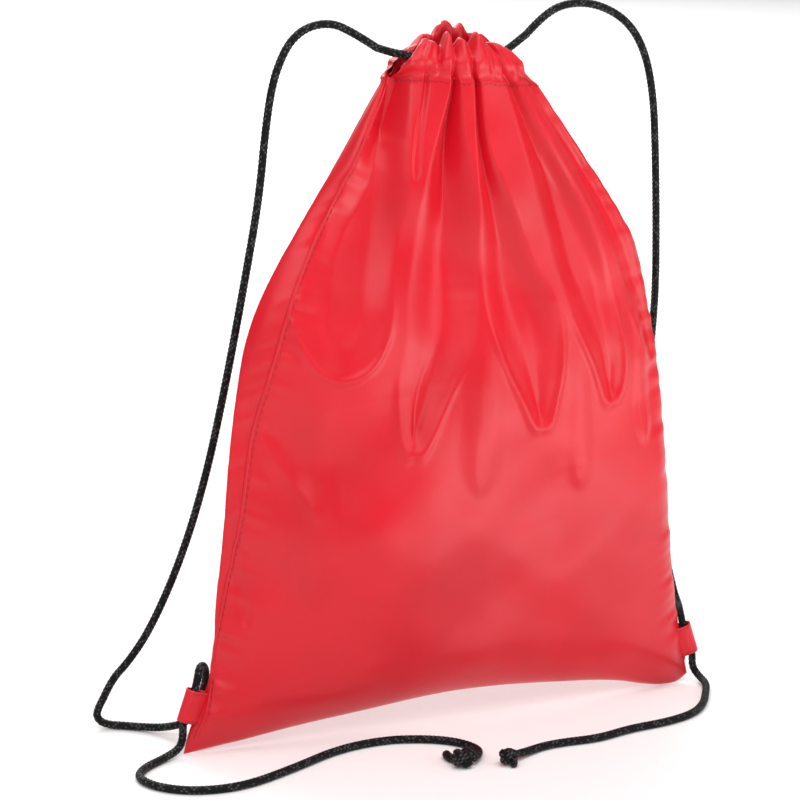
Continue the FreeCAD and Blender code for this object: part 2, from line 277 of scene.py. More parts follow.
def piece(name, points, faces, material, body):
    """A smooth mesh from points in millimetres, riding on a body."""
    mesh = bpy.data.meshes.new(name)
    mesh.from_pydata((np.asarray(points, float) * MM).tolist(), [], faces)
    mesh.polygons.foreach_set("use_smooth", [True] * len(mesh.polygons))
    mesh.materials.append(material)
    mesh.update()
    item = bpy.data.objects.new(name, mesh)
    bpy.context.scene.collection.objects.link(item)
    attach(item, body)
    return item


def grid_faces(rows, columns, wrap=False):
    """Quads over a grid of points written row by row."""
    faces = []
    last = columns if wrap else columns - 1
    for r in range(rows - 1):
        for c in range(last):
            here = r * columns + c
            beside = r * columns + (c + 1) % columns
            faces.append((here, beside, beside + columns, here + columns))
    return faces


def curve_through(*pairs):
    """A smooth function through a few (place, value) pairs, level beyond both ends."""
    places, values = np.array(sorted(pairs), float).T
    slopes = np.gradient(values, places)

    def value(x):
        x = np.clip(x, places[0], places[-1])
        i = np.clip(np.searchsorted(places, x) - 1, 0, len(places) - 2)
        span = places[i + 1] - places[i]
        t = (x - places[i]) / span
        return (values[i] * (2 * t ** 3 - 3 * t ** 2 + 1)
                + values[i + 1] * (3 * t ** 2 - 2 * t ** 3)
                + span * slopes[i] * (t ** 3 - 2 * t ** 2 + t)
                + span * slopes[i + 1] * (t ** 3 - t ** 2))
    return value


def softened(curve, reach=7.0):
    """The same function with its bends spread over a few millimetres either way."""
    shares = ((-2, 1), (-1, 4), (0, 6), (1, 4), (2, 1))

    def value(x):
        return sum(weight * curve(x + step * reach) for step, weight in shares) / 16
    return value


def ease(x, low=0.0, high=1.0):
    """0 up to low, 1 from high, smooth in between."""
    t = np.clip((x - low) / (high - low), 0, 1)
    return t * t * (3 - 2 * t)


# ---------------------------------------------------------------- cords

CORD_DIAMETER = 4.5
BRAID_PITCH = 2.6
# A strand's valleys lie this far inside the cord's radius, and its crests rise above them.
BRAID_VALLEY = 0.16
BRAID_RISE = 0.28
# Rings in a cord's round end, and how far round the quarter circle they go.
CAP_RINGS = 4
CAP_REACH = 0.94
# The part of a three-lobed knot curve that is drawn, in radians, and its number of points.
KNOT_START, KNOT_END, KNOT_POINTS = 0.35, 2 * math.pi - 0.2, 22

LEFT_SHOULDER = [
    (-46, 0.4, 393.2), (-57, 2, 400.5), (-73, 4, 408), (-92, 6, 402), (-103.5, 7, 381),
    (-109, 7, 352), (-113, 8, 312), (-121, 11, 266), (-130, 18, 210), (-140, 28, 152),
    (-152.5, 38, 103), (-168, 47.5, 62), (-180, 54, 41), (-190, 58.2, 29.2),
    (-194.5, 60, 18),
]
RIGHT_SHOULDER = [
    (46, 0.3, 399), (56.5, 1, 409), (71, 2, 416), (92, 4, 416), (114, 6, 406), (128, 9, 388),
    (136, 12, 361), (141, 17, 327), (146, 23, 285), (149, 27, 240), (147.5, 30, 200),
    (151, 31, 160), (155, 29.5, 120), (157, 25, 91), (157.6, 19.3, 69.3), (161.5, 20, 58),
]
LEFT_TAB = [
    (-194.5, 60, 18), (-198.5, 61.6, 10.5), (-197.5, 61, 5), (-192.5, 58, 2.5),
    (-184, 53, 2.4), (-174, 45, 2.7), (-165.5, 35, 4.5), (-157, 24.5, 9), (-152, 19, 17),
    (-149, 17, 26), (-147, 14.5, 35), (-147.6, 10.5, 43.5), (-150.6, 6.7, 49.2),
    (-154.2, 3, 48.6), (-156.2, 0.8, 41.6), (-159, 0, 33.4), (-162.4, 0, 26),
    (-165.4, 0, 18.9), (-165.4, 0, 14),
]
RIGHT_TAB = [
    (161.5, 20, 58), (163.4, 20.3, 51.4), (163, 15.5, 47.2), (160, 8, 46),
    (157.6, 2, 43), (159, 0, 33.4), (162.4, 0, 26), (165.4, 0, 18.9), (165.4, 0, 14),
]
LEFT_TAIL = [
    (-165.4, 0, 14), (-165.4, 0, 9.2), (-169, -2.8, 4.2), (-180, -8.6, 2.4),
    (-195, -18.5, 2.4), (-202, -32, 2.4), (-195, -50, 2.4), (-178, -63, 2.4),
    (-152, -66, 2.4), (-118, -51, 2.4), (-85, -33, 2.4), (-55, -29, 2.4), (-33, -36, 2.4),
    (-18, -47, 2.4), (-11.5, -61, 2.4), (-14, -73, 3.2), (-21.5, -80, 4.4),
]
RIGHT_TAIL = [
    (165.4, 0, 14), (165.4, 0, 9.2), (167.8, -3.9, 4.2), (167.5, -14, 2.4),
    (159, -28, 2.4), (146, -47, 2.4), (131, -60, 2.4), (109, -66.5, 2.4), (84, -68, 2.4),
    (60, -75, 2.4), (39, -73, 2.4), (25, -74, 2.4), (13, -79, 2.9), (2.5, -84, 4),
]
FRONT_CHANNEL = [
    (-46, 0.4, 393.2), (-38, -1.5, 390.5), (-32, -4, 389.5), (-25, -9, 388), (-12, -13, 388),
    (11, -13, 388), (24, -9.5, 388.5), (32, -4, 391), (39, -1, 394.5), (46, 0.3, 399),
]
BACK_CHANNEL = [
    (-28, 6.5, 382.4), (-25, 9, 383), (-12, 13, 386), (11, 13, 387), (24, 9.5, 384),
    (28, 6.5, 382.4),
]
LEFT_FREE_END = [(-30, -76, 3.4), (-32.5, -71, 2.6), (-31.5, -65, 2.4)]
RIGHT_FREE_END = [(-1.5, -89.5, 3.4), (-3, -92.5, 2.4)]

# Name, route, body, the CAD cord it replaces, and what its far end is fixed to. The two inside
# the sleeves have no far end.
STRANDS = [
    ("left_shoulder_strand", LEFT_SHOULDER, "left_shoulder", "left_shoulder_cord", "object"),
    ("right_shoulder_strand", RIGHT_SHOULDER, "right_shoulder", "right_shoulder_cord", "object"),
    ("left_tab_strand", LEFT_TAB, "sack", "left_tab_cord", "object"),
    ("right_tab_strand", RIGHT_TAB, "sack", "right_tab_cord", "object"),
    ("left_tail_strand", LEFT_TAIL, "left_tail", "left_tail_cord", "knot"),
    ("right_tail_strand", RIGHT_TAIL, "right_tail", "right_tail_cord", "knot"),
    ("front_sleeve_strand", FRONT_CHANNEL, "sack", "front_channel_cord", None),
    ("back_sleeve_strand", BACK_CHANNEL, "sack", "back_channel_cord", None),
]
# Side, centre, heading in degrees, reach, height, cord radius, tail and free end.
KNOTS = [
    ("left", (-28.5, -80.8, 5.6), -26, 4.6, 2.6, 2.5, LEFT_TAIL, LEFT_FREE_END),
    ("right", (-4.2, -87.2, 5.0), -10, 3.1, 2.0, 2.35, RIGHT_TAIL, RIGHT_FREE_END),
]


def lengths_along(points):
    """Distance from the first point to each point, along the line."""
    return np.concatenate([[0], np.cumsum(np.linalg.norm(np.diff(points, axis=0), axis=1))])


def sampled(values, along, wanted):
    """Rows of values, known at the lengths along, read at the wanted lengths."""
    return np.stack([np.interp(wanted, along, values[:, k]) for k in range(3)], axis=1)


def spline_points(name, route, spacing=0.5):
    """Even points, in millimetres, along a smooth curve that a given route controls."""
    curve = bpy.data.curves.new(name, "CURVE")
    curve.dimensions = "3D"
    curve.resolution_u = 24
    spline = curve.splines.new("NURBS")
    spline.points.add(len(route) - 1)
    for point, place in zip(spline.points, route):
        point.co = (*(Vector(place) * MM), 1)
    spline.order_u = 3
    spline.use_endpoint_u = True
    holder = bpy.data.objects.new(name, curve)
    bpy.context.scene.collection.objects.link(holder)
    line = bpy.data.meshes.new_from_object(holder)
    points = np.array([v.co for v in line.vertices], float) / MM
    bpy.data.objects.remove(holder)
    bpy.data.meshes.remove(line)
    along = lengths_along(points)
    count = max(8, round(along[-1] / spacing))
    return sampled(points, along, np.linspace(0, along[-1], count + 1))


def side_vectors(points):
    """Two unit vectors square to the line at each point, carried along it without twist."""
    ahead = np.gradient(points, axis=0)
    ahead /= np.linalg.norm(ahead, axis=1)[:, None]
    side = np.cross(ahead[0], (0.3, 0.2, 0.93))
    sides = []
    for direction in ahead:
        side = side - direction * side.dot(direction)
        side = side / np.linalg.norm(side)
        sides.append(side)
    sides = np.array(sides)
    return sides, np.cross(ahead, sides)


def braid_height(turn, along):
    """How far the braid's strands stand out, from 0 to 1, by turn round it and by length in
    pitches."""
    one = np.abs(np.sin(math.pi * (turn * BRAID_STRANDS + along)))
    other = np.abs(np.sin(math.pi * (turn * BRAID_STRANDS - along)))
    return one * other


def tube_faces(rings, around):
    """Quads of a tube written ring by ring, and a face over each end."""
    end = (rings - 1) * around
    return grid_faces(rings, around, wrap=True) + [
        tuple(range(around))[::-1], tuple(end + k for k in range(around))]


def braided_tube(name, points, body, radius=CORD_DIAMETER / 2, around=24):
    """A braided cord with round ends that follows points."""
    first, second = side_vectors(points)
    ahead = np.cross(first, second)
    along = lengths_along(points)

    def cap_ring(end, outward, step):
        angle = 0.5 * math.pi * step / CAP_RINGS * CAP_REACH
        out = outward * radius * math.sin(angle)
        return (points[end] + ahead[end] * out, first[end], second[end], along[end] + out,
                math.cos(angle))

    rings = [cap_ring(0, -1, step) for step in range(CAP_RINGS, 0, -1)]
    rings += zip(points, first, second, along, np.ones(len(points)))
    rings += [cap_ring(-1, 1, step) for step in range(1, CAP_RINGS + 1)]
    centres, sides, ups, lengths, shares = [np.array(column) for column in zip(*rings)]
    turn = np.arange(around) / around
    angle = 2 * math.pi * turn
    lengths = lengths / BRAID_PITCH
    lift = braid_height(turn[None, :], lengths[:, None])
    reach = (radius - BRAID_VALLEY + BRAID_RISE * lift) * shares[:, None]
    spots = (centres[:, None, :] + sides[:, None, :] * (np.cos(angle) * reach)[..., None]
             + ups[:, None, :] * (np.sin(angle) * reach)[..., None])
    item = piece(name, spots.reshape(-1, 3), tube_faces(len(rings), around), CORD, body)
    layer = item.data.uv_layers.new(name="braid")
    coords = []
    for polygon in item.data.polygons:
        ring_of = [v // around for v in polygon.vertices]
        step_of = [v % around for v in polygon.vertices]
        seam = max(step_of) - min(step_of) > around // 2 and len(step_of) == 4
        for ring, step in zip(ring_of, step_of):
            place = step + around if seam and step < around // 2 else step
            coords += [place / around, lengths[ring]]
    layer.data.foreach_set("uv", coords)
    return item


def knot_route(centre, heading, reach, height, start, free_end):
    """An overhand knot pulled tight: three interlaced turns, then a free end."""
    heading = math.radians(heading)
    points = [start]
    for t in np.linspace(KNOT_START, KNOT_END, KNOT_POINTS):
        x = (2 + math.cos(3 * t)) * math.cos(2 * t) * reach / 3
        y = (2 + math.cos(3 * t)) * math.sin(2 * t) * reach / 3
        z = math.sin(3 * t) * height
        points.append((centre[0] + x * math.cos(heading) - y * math.sin(heading),
                       centre[1] + x * math.sin(heading) + y * math.cos(heading),
                       centre[2] + z))
    return points + list(free_end)


def make_cords():
    strands = []
    for name, route, body, node, far_end in STRANDS:
        line = spline_points(name, route)
        item = braided_tube(name, line, body)
        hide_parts(node)
        if far_end:
            strands.append((name, item, line, far_end))
    for side, centre, heading, reach, height, radius, tail, free_end in KNOTS:
        route = knot_route(centre, heading, reach, height, tail[-1], free_end)
        line = spline_points(f"{side}_knot_line", route, 0.4)
        knot = braided_tube(f"{side}_stopper_knot", line, f"{side}_tail", radius=radius, around=18)
        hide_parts(f"{side}_tail_knot")
    for name, item, line, far_end in strands:
        side = name.split("_")[0]


# ---------------------------------------------------------------- sack cloth

# The sack's outline and seam as x by height, its half depth by height, and the height of its
# bottom fold by x.
LEFT_EDGE = curve_through((0, -165.3), (8, -163.4), (17, -160.3), (31, -153.5), (51, -147.4),
                          (83, -145), (123, -140), (174, -135), (207, -130.3), (235, -124.5),
                          (255, -116.8), (275, -106), (297, -92.3), (334, -68.3), (374, -43))
RIGHT_EDGE = curve_through((0, 163), (23, 158), (49, 153), (70, 150), (143, 143), (180, 139),
                           (214, 134), (245, 127), (268, 121.5), (281, 116.5), (314, 95),
                           (349, 68.5), (374, 50))
HALF_DEPTH = curve_through((0, 20), (60, 24), (130, 27), (200, 28.5), (250, 27.5), (300, 25.5),
                           (340, 22.5), (374, 19.5))
BOTTOM = curve_through((-165.3, 0), (-150, 1.6), (-131, 3.4), (-95, 8), (-64, 11), (0, 16),
                       (73, 12), (118, 6.2), (132, 2.6), (146, 0.5), (156, 1.5), (163, 5.5))
LEFT_SEAM = curve_through((0, -163), (31, -151), (60, -146), (90, -140), (118, -133.5),
                          (146, -129), (183, -123), (219, -113.5), (257, -102), (300, -80),
                          (319, -70), (351, -51.5), (374, -39))
# Half the base's width.
FULL_BASE = 163.0
# The cloth rounds out from the bottom fold to its full depth over this height.
ROUNDING_HEIGHT = 36.0
HEM_HEIGHT = 374.5
# How much lower the sleeve's stitch row is at the right end than in the middle.
HEM_TILT = 3.0
# The right seam lies this far round behind the outline, in radians.
RIGHT_SEAM_TURN = 0.22

# Wide unevenness of the cloth as (wavelength, height), each drawn three times.
UNEVENNESS = ((170, 2.6), (110, 2.0), (64, 1.0), (34, 0.36))
PACKING_CREASES = 7
PACKING_CREASE_HEIGHT = 0.16
PACKING_CREASE_WIDTH = 2.2

# The broad swell: a point on its crest line, the line's run in x and z, and its size.
SWELL_START = (-95, 25)
SWELL_RUN = (135, 190)
SWELL_HEIGHT = 4.2
SWELL_WIDTH = 48

# Puckers along the side seams as (wavelength, height), and how strongly each side shows them.
PUCKERS = ((31, 0.7), (17, 0.5), (11, 0.4), (7.5, 0.22))
FRONT_PUCKER, BACK_PUCKER = -1.2, 0.5

COLUMNS = 341
ROWS = 261


def fold(path, width, depth, tip, bend, walls, lip, reach):
    """A hollow in the cloth that runs down and ends in a U.

    The path, half width and depth are given by height, and a negative depth makes a ridge. The
    U's lowest point is at tip and it is bend tall. walls are how wide the slopes are on its left
    and right, and a lip stands round the U up to reach above it.
    """
    return {"path": softened(curve_through(*path)), "width": softened(curve_through(*width)),
            "depth": softened(curve_through(*depth)), "tip": tip, "bend": bend, "walls": walls,
            "lip": lip, "reach": reach}


# The front's folds, placed from the photo: five long hollows from left to right, a short one
# under the sleeve, then faint ridges and hollows further down.
FRONT_FOLDS = [
    fold([(374, -36), (344, -46), (312, -55), (285, -67), (257, -74), (217, -74)],
         [(374, 5), (344, 10), (312, 17), (285, 22), (257, 23), (217, 21)],
         [(374, 8), (350, 12), (320, 9), (285, 5.5), (257, 3.8), (212, 2.6)],
         217, 46, (24, 17), 1.4, 44),
    fold([(374, -4.8), (352, -8), (331, -9.7), (289, -11.5), (264, -14), (229, -19),
          (210, -26), (190, -32), (167, -37)],
         [(374, 1.8), (352, 5), (331, 9.3), (313, 12.7), (289, 15.2), (264, 18), (229, 17),
          (210, 13), (190, 10), (167, 8)],
         [(374, 6), (352, 11), (320, 13), (289, 10.5), (250, 7), (210, 5), (167, 4)],
         172, 60, (22, 24), 1.3, 50),
    fold([(374, 7.2), (333, 10), (298, 18.5), (278, 22.7), (261, 28.5), (243, 34), (221, 38),
          (192, 43), (174, 45)],
         [(374, 1.6), (333, 3.4), (306, 8.1), (278, 13.2), (261, 17), (243, 18.5), (221, 16),
          (192, 9.5), (174, 8)],
         [(374, 6), (340, 7), (306, 8.5), (270, 7.5), (230, 5.5), (192, 4.2), (174, 3.6)],
         180, 48, (20, 18), 1.9, 78),
    fold([(374, 29), (341, 42), (314, 55.5), (286, 66.5), (258, 75.8), (241, 81.5), (223, 88),
          (204, 94), (186, 95.5)],
         [(374, 3), (341, 7), (314, 11.5), (286, 14.5), (258, 15.5), (241, 14), (223, 11.5),
          (204, 8.4), (186, 7.5)],
         [(374, 4.5), (341, 7.5), (314, 8), (270, 6.2), (230, 4.2), (186, 3.2)],
         189, 38, (16, 13), 1.9, 70),
    fold([(374, 42), (337, 67), (312, 84), (282, 101), (252, 114), (228, 124), (208, 129)],
         [(374, 3.4), (337, 7.5), (312, 9), (282, 9), (252, 8.5), (228, 6.5), (208, 5)],
         [(374, 4.5), (337, 6.5), (300, 6), (252, 4), (208, 2)],
         209, 30, (10, 9), 0.9, 40),
    fold([(374, -21), (350, -27), (322, -31)], [(374, 1.6), (350, 2.4), (322, 3.4)],
         [(374, 2.2), (350, 1.4), (322, 0.5)], 320, 16, (3, 3), 0, 10),
    fold([(280, 12), (150, 5)], [(280, 9), (150, 14)], [(300, 0), (230, -1.6), (160, -2)],
         138, 44, (14, 14), 0, 10),
    fold([(210, 70), (140, 74)], [(210, 7), (140, 9)], [(228, 0), (190, -1.4), (150, -1.4)],
         136, 26, (9, 9), 0, 10),
    fold([(250, 116), (165, 121)], [(250, 5), (165, 7)], [(262, 0), (232, -1.4), (175, -1.8)],
         158, 24, (7, 7), 0, 10),
    fold([(200, -88), (90, -94)], [(200, 9), (90, 12)], [(215, 0), (170, -1.2), (100, -1.4)],
         84, 40, (12, 12), 0, 10),
    fold([(190, -122), (168, -112), (140, -92)], [(190, 5), (168, 8), (140, 9)],
         [(200, 0), (180, -1.5), (150, -1.3)], 132, 24, (13, 13), 0, 10),
    fold([(110, -134), (78, -130)], [(110, 4), (78, 5)], [(120, 0), (100, 1.8), (84, 1.2)],
         72, 14, (6, 6), 0, 10),
]
# The back isn't in the photo. Its folds are guessed, in the manner of the front's.
BACK_FOLDS = [
    fold([(374, -32), (340, -41), (300, -62), (250, -86), (215, -98)],
         [(374, 2.6), (340, 7), (300, 13), (250, 15), (215, 12)],
         [(374, 5), (340, 9), (300, 10), (250, 6), (215, 2.6)], 206, 74, (16, 13), 0.5, 60),
    fold([(374, -16), (340, -20), (300, -28), (240, -40), (186, -46)],
         [(374, 2.2), (340, 6), (300, 10), (240, 15), (186, 13)],
         [(374, 6), (340, 10), (300, 10), (240, 6.5), (186, 2.4)], 172, 96, (16, 18), 0.4, 60),
    fold([(374, 2), (340, 1), (300, -1), (240, 4), (160, 10)],
         [(374, 2.2), (340, 7), (300, 12), (240, 16), (160, 12)],
         [(374, 6), (340, 10), (300, 11), (240, 7), (160, 2.4)], 146, 110, (17, 20), 0.5, 60),
    fold([(374, 20), (340, 27), (300, 40), (240, 60), (194, 70)],
         [(374, 2.2), (340, 6), (300, 11), (240, 15), (194, 12)],
         [(374, 5), (340, 9), (300, 10), (240, 6), (194, 2.6)], 186, 88, (15, 18), 0.5, 60),
    fold([(374, 36), (340, 52), (300, 78), (250, 102), (222, 112)],
         [(374, 2.4), (340, 6), (300, 10), (250, 11), (222, 9)],
         [(374, 4.5), (340, 7), (300, 8), (250, 4.5), (222, 1.8)], 212, 62, (12, 14), 0.4, 40),
]


def fold_relief(x, z, folds):
    """How far the folds move the cloth outwards, in millimetres.

    size is 1 on a fold's outline, and inward is the distance inside it.
    """
    relief = np.zeros_like(x)
    for f in folds:
        half = f["width"](z)
        across = (x - f["path"](z)) / half
        below = np.clip(1 - (z - f["tip"]) / f["bend"], 0, None)
        down = below ** 1.5
        size = np.hypot(across, down) + 1e-6
        slope = np.hypot(across / half, 1.5 * down * np.sqrt(below) / f["bend"]) / size
        inward = (1 - size) / slope
        wall = f["walls"][0] + (f["walls"][1] - f["walls"][0]) * ease(across, -0.6, 0.6)
        wall = np.minimum(wall, 1.5 * half + 1)
        relief -= f["depth"](z) * ease(inward, -0.25 * wall, 0.75 * wall)
        fade = 1 - ease(z, f["tip"] + 0.3 * f["reach"], f["tip"] + f["reach"])
        relief += f["lip"] * fade * np.exp(-((inward + 0.2 * wall + 1) / 2.1) ** 2)
    return relief


def soft_creases(x, z, seed):
    """Wide shallow unevenness and a few faint packing creases, in millimetres."""
    rng = np.random.default_rng(seed)
    relief = np.zeros_like(x)
    for wavelength, height in UNEVENNESS:
        for _ in range(3):
            direction = rng.uniform(0, math.pi)
            phase = rng.uniform(0, 2 * math.pi)
            across = x * math.cos(direction) + z * math.sin(direction)
            relief += height / 2 * np.sin(2 * math.pi * across / wavelength + phase)
    for _ in range(PACKING_CREASES):
        level, slope = rng.uniform(40, 290), rng.uniform(-0.12, 0.12)
        middle, reach = rng.uniform(-90, 90), rng.uniform(25, 70)
        distance = z - level - slope * x
        share = np.exp(-((x - middle) / reach) ** 2)
        relief += PACKING_CREASE_HEIGHT * share * np.exp(-(distance / PACKING_CREASE_WIDTH) ** 2)
    return relief


def diagonal_swell(x, z):
    """A broad swell that leans across the front, from its low left to its middle right."""
    (x_start, z_start), (x_run, z_run) = SWELL_START, SWELL_RUN
    distance = ((x - x_start) * z_run - (z - z_start) * x_run) / math.hypot(z_run, x_run)
    return SWELL_HEIGHT * np.exp(-(distance / SWELL_WIDTH) ** 2) * (1 - ease(z, 170, 240))


def hem_height(x_share, front):
    """Height of the sleeve's stitch row round the sack, by share of the way from middle to side."""
    ripple = np.where(front, 0.5, -0.5) * np.sin(9 * x_share) + 0.25 * np.sin(31 * x_share)
    return HEM_HEIGHT - HEM_TILT * x_share + ripple


def sack_point(angle, share):
    """The cloth's place by angle round the sack (0 right, pi left, the front between them) and
    share of the height from the bottom fold to the sleeve's stitch row."""
    across, depthwise = np.cos(angle), np.sin(angle)
    front = depthwise > 0
    bottom = BOTTOM(FULL_BASE * across)
    z = bottom + (hem_height(across, front) - bottom) * share
    left, right = LEFT_EDGE(z), RIGHT_EDGE(z)
    x = (left + right) / 2 + (right - left) / 2 * across
    rise = np.clip((z - bottom) / ROUNDING_HEIGHT, 0, 1)
    depth = HALF_DEPTH(z) * np.sqrt(1 - (1 - rise) ** 2)
    power = 1.4 - 0.4 * ease(z, 300, 370)
    y = depth * np.abs(depthwise) ** power
    near_seam = ease(np.abs(depthwise), 0.02, 0.42)
    relief = np.where(front, fold_relief(x, z, FRONT_FOLDS) + soft_creases(x, z, 3)
                      + diagonal_swell(x, z),
                      fold_relief(x, z, BACK_FOLDS) + soft_creases(x, z, 8))
    y = y + relief * near_seam * ease(z - bottom, 0, 30)
    y = np.maximum(y, 0.35 * np.abs(depthwise))
    return np.stack([x, np.where(front, -y, y), z], axis=-1)


def seam_angles(share):
    """Angles of the left and right seams by share of the height."""
    z = HEM_HEIGHT * share
    left, right = LEFT_EDGE(z), RIGHT_EDGE(z)
    across = (LEFT_SEAM(z) - (left + right) / 2) / ((right - left) / 2)
    left_angle = np.arccos(np.clip(across, -1, 1))
    right_angle = -RIGHT_SEAM_TURN * ease(share, 0, 0.15) * (1 - 0.6 * ease(share, 0.85, 1))
    return left_angle, right_angle


def seam_pucker(points):
    """Small puckers that run off the side seams and die away within a few millimetres."""
    rng = np.random.default_rng(5)
    height = points[:, :, 2]
    shift = np.zeros_like(height)
    for side in (0, -1):
        distance = np.linalg.norm(points - points[:, [side], :], axis=2)
        wave = np.zeros_like(height)
        for wavelength, amount in PUCKERS:
            strength = curve_through(*[(z, rng.uniform(0.2, 1.7)) for z in range(0, 390, 30)])
            wave += amount * strength(height) * np.sin(
                2 * math.pi * (height + 0.35 * distance) / wavelength + rng.uniform(0, 6))
        shift += wave * (distance / 3) * np.exp(1 - distance / 5) / math.e * 0.8
    return shift * ease(height, 12, 40) * (1 - ease(height, 345, 370))


def panel_points(front):
    """Rows of the panel from the bottom fold up, each from seam to seam, and their angles."""
    share = np.linspace(0, 1, ROWS)[:, None] * np.ones((1, COLUMNS))
    left, right = seam_angles(share)
    t = np.linspace(0, 1, COLUMNS)[None, :]
    if front:
        angle = left + (right - left) * t
    else:
        angle = right + (left - 2 * math.pi - right) * t
    points = sack_point(angle, share)
    points[:, :, 1] += (FRONT_PUCKER if front else BACK_PUCKER) * seam_pucker(points)
    return points, angle


def make_panel(front):
    points, angle = panel_points(front)
    name = "front_cloth" if front else "back_cloth"
    faces = grid_faces(ROWS, COLUMNS)
    item = piece(name, points.reshape(-1, 3), faces, SACK_CLOTH, "sack")
    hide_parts("front_panel" if front else "back_panel")
    return item, points, angle


# ---------------------------------------------------------------- gathered sleeve

# Height of the rim, and the crevices between its gathers as (place, width, strength), by share
# of the way from the mouth's middle to its side.
FRONT_RIM = curve_through((-1, 383), (-0.9, 388), (-0.76, 396), (-0.5, 396), (-0.39, 394.5),
                          (-0.3, 401), (-0.23, 400), (-0.16, 395), (-0.03, 398),
                          (0.07, 396.5), (0.14, 395.5), (0.27, 401), (0.38, 396.5),
                          (0.6, 395), (0.8, 393), (1, 389))
BACK_RIM = curve_through((-1, 389), (-0.85, 391), (-0.62, 395), (-0.42, 400), (-0.32, 399),
                         (-0.2, 401), (-0.12, 405), (-0.02, 406.8), (0.08, 405.5), (0.19, 402.5),
                         (0.3, 405), (0.38, 401), (0.5, 399.5), (0.62, 399.5), (0.8, 395),
                         (1, 391))
# Keyed by whether the side is the front.
CREVICES = {
    True: [(-0.86, 0.04, 0.8), (-0.60, 0.04, 0.25), (-0.39, 0.04, 0.9), (-0.17, 0.05, 1.0),
           (0.10, 0.04, 1.0), (0.30, 0.04, 0.3), (0.53, 0.035, 0.9), (0.78, 0.04, 0.8)],
    False: [(-0.86, 0.03, 0.9), (-0.66, 0.035, 0.8), (-0.45, 0.03, 1.0), (-0.24, 0.03, 0.8),
            (-0.06, 0.035, 1.0), (0.13, 0.03, 0.9), (0.36, 0.035, 1.0), (0.56, 0.03, 0.8),
            (0.75, 0.035, 1.0), (0.9, 0.03, 0.7)],
}
# The sleeve's section from the stitch row over the rim and down inside, as (share of its height,
# how far it has left the panel's edge, offset from the mouth's oval, swell of the gathers).
SLEEVE_SECTION = [
    (0.0, 0, 0, 0), (0.12, 0.35, 1.2, 2.0), (0.3, 0.75, 3.2, 4.0), (0.48, 1, 4.0, 3.6),
    (0.62, 1, 3.8, 2.6), (0.78, 1, 2.6, 3.4), (0.9, 1, 1.6, 4.0), (1.0, 1, -0.4, 3.4),
    (0.99, 1, -2.4, 1.6), (0.88, 1, -3.4, 0.4), (0.7, 1, -3.2, -0.8),
    (0.48, 1, -2.9, -1.8), (0.25, 0.9, -2.4, -1.4), (0.05, 0.6, -1.8, -0.8),
]
ROWS_PER_SECTION_STEP = 4
# Half sizes of the mouth's oval, and how the first grows from left to right.
MOUTH_HALF_WIDTH, MOUTH_SKEW, MOUTH_HALF_DEPTH = 38.5, 2.5, 13.6
# Height share of the cord in the sleeve, and the one from which the rim closes in.
CORD_HEIGHT_SHARE, RIM_SHARE = 0.48, 0.62
# Fine pleats as (radians per share, height).
PLEATS = ((21, 0.4), (34, 0.34), (55, 0.22))
# How square the crevices are: 1 is a sharp valley and 2 a round one.
CREVICE_ROUNDNESS = 1.4


def lumps(across, front, twist):
    """1 on the crests of the gathers and 0 in the crevices between them."""
    dips = np.zeros_like(across)
    for place, width, strength in CREVICES[front]:
        distance = np.abs(across - place - twist) / width
        dips += strength * np.exp(-distance ** CREVICE_ROUNDNESS)
    return 1 - np.clip(dips, 0, 1)


def random_curve(rng, low, high, count):
    """A smooth function over -1 to 1 through count random values."""
    return curve_through(*[(x, rng.uniform(low, high)) for x in np.linspace(-1, 1, count)])


def sleeve_points(front, top_row, angle):
    """Rows of the sleeve: up its outer wall, over the rim and down its inner wall.

    At both ends, where the cords leave, it is pinched flat.
    """
    across, depthwise = np.cos(angle), np.abs(np.sin(angle))
    rim = (FRONT_RIM if front else BACK_RIM)(across)
    rng = np.random.default_rng(11 if front else 12)
    uneven = random_curve(rng, 0.6, 1.15, 15)(across)
    wander = random_curve(rng, -0.05, 0.05, 9)(across)
    shut = ease(np.abs(across), 0.84, 0.965)
    pleats = [(rate, amount, rng.uniform(0, 6)) for rate, amount in PLEATS]
    sign = -1.0 if front else 1.0
    section = np.array(SLEEVE_SECTION, float)
    last = len(section) - 1
    curves = [curve_through(*enumerate(column)) for column in section.T]
    hem = top_row[:, 2]
    rows = []
    for step in np.linspace(0, last, last * ROWS_PER_SECTION_STEP + 1):
        height, settle, base, swell = [float(curve(step)) for curve in curves]
        settle = min(1.0, max(0.0, settle))
        above = max(0.0, height - RIM_SHARE) / (1 - RIM_SHARE)
        crest = lumps(across, front, wander * above)
        z = hem + (rim - hem) * height + 1.2 * above * (crest - 0.6) * uneven
        a = (MOUTH_HALF_WIDTH + MOUTH_SKEW * across) * (1 - 0.18 * above)
        b = MOUTH_HALF_DEPTH * (1 - 0.26 * above)
        normal_x = across / a
        normal_y = depthwise / b
        size = np.hypot(normal_x, normal_y)
        creases = sum(amount * np.sin(rate * across + phase + 1.6 * height * math.cos(phase))
                      for rate, amount, phase in pleats)
        offset = base + swell * crest * uneven + math.copysign(1, base) * creases * (1 - shut)
        at_cord = math.exp(-((height - CORD_HEIGHT_SHARE) / 0.16) ** 2)
        round_cord = 2.4 * at_cord * ease(across, -0.5, 0.5)
        wrapped = math.copysign(1, base) * (0.3 + round_cord)
        offset = offset + (wrapped - offset) * shut * settle
        x = a * across + offset * normal_x / size
        y = sign * (b * depthwise + offset * normal_y / size)
        x = top_row[:, 0] + (x - top_row[:, 0]) * settle
        y = top_row[:, 1] + (y - top_row[:, 1]) * settle
        rows.append(np.stack([x, y, z], axis=-1))
    return np.array(rows)


